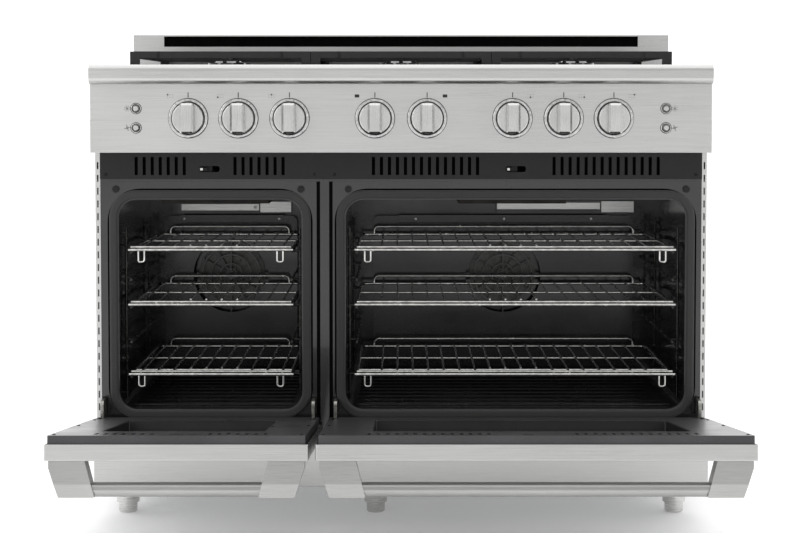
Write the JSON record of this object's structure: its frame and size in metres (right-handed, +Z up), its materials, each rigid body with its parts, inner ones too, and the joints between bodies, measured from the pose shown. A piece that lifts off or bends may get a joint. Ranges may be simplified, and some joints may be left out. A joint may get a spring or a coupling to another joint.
{
  "type": "freestanding gas range",
  "caption": "Wide freestanding stainless gas range with a narrow and a wide oven side by side, both doors swung down, under a cast iron cooktop.",
  "frame": {"origin": "on the floor, under the middle of the whole range with both doors open", "axes": "+X to the right as seen from the front, +Y to the back, +Z up"},
  "size_m": [1.216, 1.1999, 0.991],
  "materials": {
    "stainless_steel": "brushed",
    "zinc_coated_steel": "satin",
    "foot_steel": "satin",
    "black_trim_paint": "satin",
    "black_enamel": "gloss",
    "oven_enamel": "gloss",
    "face_enamel": "gloss",
    "door_liner_enamel": "satin",
    "gasket_cord": "matt",
    "rack_chrome": "polished",
    "bezel_steel": "polished",
    "knob_steel": "brushed",
    "button_steel": "brushed",
    "grate_iron": "matt",
    "burner_alloy": "satin",
    "burner_tube_steel": "satin",
    "gas_pipe_steel": "satin",
    "electrical_plastic": "matt",
    "hinge_steel": "satin",
    "fan_steel": "satin",
    "door_glass": "gloss"
  },
  "bodies": {
    "casing": {"base_pan": "zinc_coated_steel", "side_panel_left": "stainless_steel", "side_panel_right": "stainless_steel", "rear_panel": "zinc_coated_steel", "cooktop_deck": "stainless_steel", "spill_tray": "black_enamel", "front_rail": "stainless_steel", "control_panel": "stainless_steel", "backguard": "stainless_steel", "vent_trim": "black_trim_paint", "kick_panel": "stainless_steel", "leveling_feet": "foot_steel", "oven_liner_left": "oven_enamel", "oven_liner_right": "oven_enamel", "oven_face_frames": "face_enamel", "oven_gaskets": "gasket_cord", "fan_baffles": "oven_enamel", "electrical_parts": "electrical_plastic", "oven_burners": "burner_tube_steel", "rack_guides": "rack_chrome", "burner_heads": "burner_alloy", "burner_caps": "black_enamel", "gas_manifold": "gas_pipe_steel", "knob_bezels": "bezel_steel", "hinge_arms": "hinge_steel"},
    "left_door": {"door_skin_left": "stainless_steel", "door_liner_left": "door_liner_enamel", "door_glass_left": "door_glass", "door_handle_left": "stainless_steel", "door_hinge_left": "hinge_steel"},
    "right_door": {"door_skin_right": "stainless_steel", "door_liner_right": "door_liner_enamel", "door_glass_right": "door_glass", "door_handle_right": "stainless_steel", "door_hinge_right": "hinge_steel"},
    "rear_left_burner_knob": {"knob_rear_left_burner": "knob_steel"},
    "front_left_burner_knob": {"knob_front_left_burner": "knob_steel"},
    "rear_centre_burner_knob": {"knob_rear_centre_burner": "knob_steel"},
    "left_oven_knob": {"knob_left_oven": "knob_steel"},
    "right_oven_knob": {"knob_right_oven": "knob_steel"},
    "front_centre_burner_knob": {"knob_front_centre_burner": "knob_steel"},
    "front_right_burner_knob": {"knob_front_right_burner": "knob_steel"},
    "rear_right_burner_knob": {"knob_rear_right_burner": "knob_steel"},
    "left_lamp_button": {"button_left_lamp": "button_steel"},
    "left_fan_button": {"button_left_fan": "button_steel"},
    "right_lamp_button": {"button_right_lamp": "button_steel"},
    "right_fan_button": {"button_right_fan": "button_steel"},
    "left_high_rack": {"rack_left_high": "rack_chrome"},
    "left_middle_rack": {"rack_left_middle": "rack_chrome"},
    "left_low_rack": {"rack_left_low": "rack_chrome"},
    "right_high_rack": {"rack_right_high": "rack_chrome"},
    "right_middle_rack": {"rack_right_middle": "rack_chrome"},
    "right_low_rack": {"rack_right_low": "rack_chrome"},
    "left_fan": {"convection_fan_left": "fan_steel"},
    "left_latch": {"door_latch_left": "hinge_steel"},
    "right_fan": {"convection_fan_right": "fan_steel"},
    "right_latch": {"door_latch_right": "hinge_steel"},
    "left_grate": {"grate_left": "grate_iron"},
    "centre_grate": {"grate_centre": "grate_iron"},
    "right_grate": {"grate_right": "grate_iron"}
  },
  "joints": [
    {"name": "left_door_hinge", "type": "hinge", "parent": "casing", "child": "left_door", "pos_m": [-0.383, -0.05406, 0.1904], "axis": [1, 0, 0], "range_deg": [-83.6, 0]},
    {"name": "right_door_hinge", "type": "hinge", "parent": "casing", "child": "right_door", "pos_m": [0.231, -0.05406, 0.1904], "axis": [1, 0, 0], "range_deg": [-83.6, 0]},
    {"name": "rear_left_burner_turn", "type": "hinge", "parent": "casing", "child": "rear_left_burner_knob", "pos_m": [-0.416, -0.08006, 0.8095], "axis": [0, -1, 0], "range_deg": [0, 270]},
    {"name": "front_left_burner_turn", "type": "hinge", "parent": "casing", "child": "front_left_burner_knob", "pos_m": [-0.318, -0.08006, 0.8095], "axis": [0, -1, 0], "range_deg": [0, 270]},
    {"name": "rear_centre_burner_turn", "type": "hinge", "parent": "casing", "child": "rear_centre_burner_knob", "pos_m": [-0.218, -0.08006, 0.8095], "axis": [0, -1, 0], "range_deg": [0, 270]},
    {"name": "left_oven_turn", "type": "hinge", "parent": "casing", "child": "left_oven_knob", "pos_m": [-0.051, -0.08006, 0.8095], "axis": [0, 1, 0], "range_deg": [0, 285]},
    {"name": "right_oven_turn", "type": "hinge", "parent": "casing", "child": "right_oven_knob", "pos_m": [0.051, -0.08006, 0.8095], "axis": [0, 1, 0], "range_deg": [0, 285]},
    {"name": "front_centre_burner_turn", "type": "hinge", "parent": "casing", "child": "front_centre_burner_knob", "pos_m": [0.218, -0.08006, 0.8095], "axis": [0, -1, 0], "range_deg": [0, 270]},
    {"name": "front_right_burner_turn", "type": "hinge", "parent": "casing", "child": "front_right_burner_knob", "pos_m": [0.318, -0.08006, 0.8095], "axis": [0, -1, 0], "range_deg": [0, 270]},
    {"name": "rear_right_burner_turn", "type": "hinge", "parent": "casing", "child": "rear_right_burner_knob", "pos_m": [0.416, -0.08006, 0.8095], "axis": [0, -1, 0], "range_deg": [0, 270]},
    {"name": "left_lamp_press", "type": "slide", "parent": "casing", "child": "left_lamp_button", "axis": [0, 1, 0], "range_m": [0, 0.003], "stiffness_N_per_m": 300},
    {"name": "left_fan_press", "type": "slide", "parent": "casing", "child": "left_fan_button", "axis": [0, 1, 0], "range_m": [0, 0.003], "stiffness_N_per_m": 300},
    {"name": "right_lamp_press", "type": "slide", "parent": "casing", "child": "right_lamp_button", "axis": [0, 1, 0], "range_m": [0, 0.003], "stiffness_N_per_m": 300},
    {"name": "right_fan_press", "type": "slide", "parent": "casing", "child": "right_fan_button", "axis": [0, 1, 0], "range_m": [0, 0.003], "stiffness_N_per_m": 300},
    {"name": "left_high_rack_slide", "type": "slide", "parent": "casing", "child": "left_high_rack", "axis": [0, -1, 0], "range_m": [0, 0.3]},
    {"name": "left_middle_rack_slide", "type": "slide", "parent": "casing", "child": "left_middle_rack", "axis": [0, -1, 0], "range_m": [0, 0.3]},
    {"name": "left_low_rack_slide", "type": "slide", "parent": "casing", "child": "left_low_rack", "axis": [0, -1, 0], "range_m": [0, 0.3]},
    {"name": "right_high_rack_slide", "type": "slide", "parent": "casing", "child": "right_high_rack", "axis": [0, -1, 0], "range_m": [0, 0.3]},
    {"name": "right_middle_rack_slide", "type": "slide", "parent": "casing", "child": "right_middle_rack", "axis": [0, -1, 0], "range_m": [0, 0.3]},
    {"name": "right_low_rack_slide", "type": "slide", "parent": "casing", "child": "right_low_rack", "axis": [0, -1, 0], "range_m": [0, 0.3]},
    {"name": "left_fan_spin", "type": "hinge", "parent": "casing", "child": "left_fan", "pos_m": [-0.38, 0.45794, 0.453], "axis": [0, 1, 0], "continuous": true},
    {"name": "left_latch_slide", "type": "slide", "parent": "casing", "child": "left_latch", "axis": [1, 0, 0], "range_m": [0, 0.008]},
    {"name": "right_fan_spin", "type": "hinge", "parent": "casing", "child": "right_fan", "pos_m": [0.228, 0.45794, 0.453], "axis": [0, 1, 0], "continuous": true},
    {"name": "right_latch_slide", "type": "slide", "parent": "casing", "child": "right_latch", "axis": [1, 0, 0], "range_m": [0, 0.008]},
    {"name": "left_grate_lift", "type": "slide", "parent": "casing", "child": "left_grate", "axis": [0, 0, 1], "range_m": [0, 0.15]},
    {"name": "centre_grate_lift", "type": "slide", "parent": "casing", "child": "centre_grate", "axis": [0, 0, 1], "range_m": [0, 0.15]},
    {"name": "right_grate_lift", "type": "slide", "parent": "casing", "child": "right_grate", "axis": [0, 0, 1], "range_m": [0, 0.15]}
  ]
}
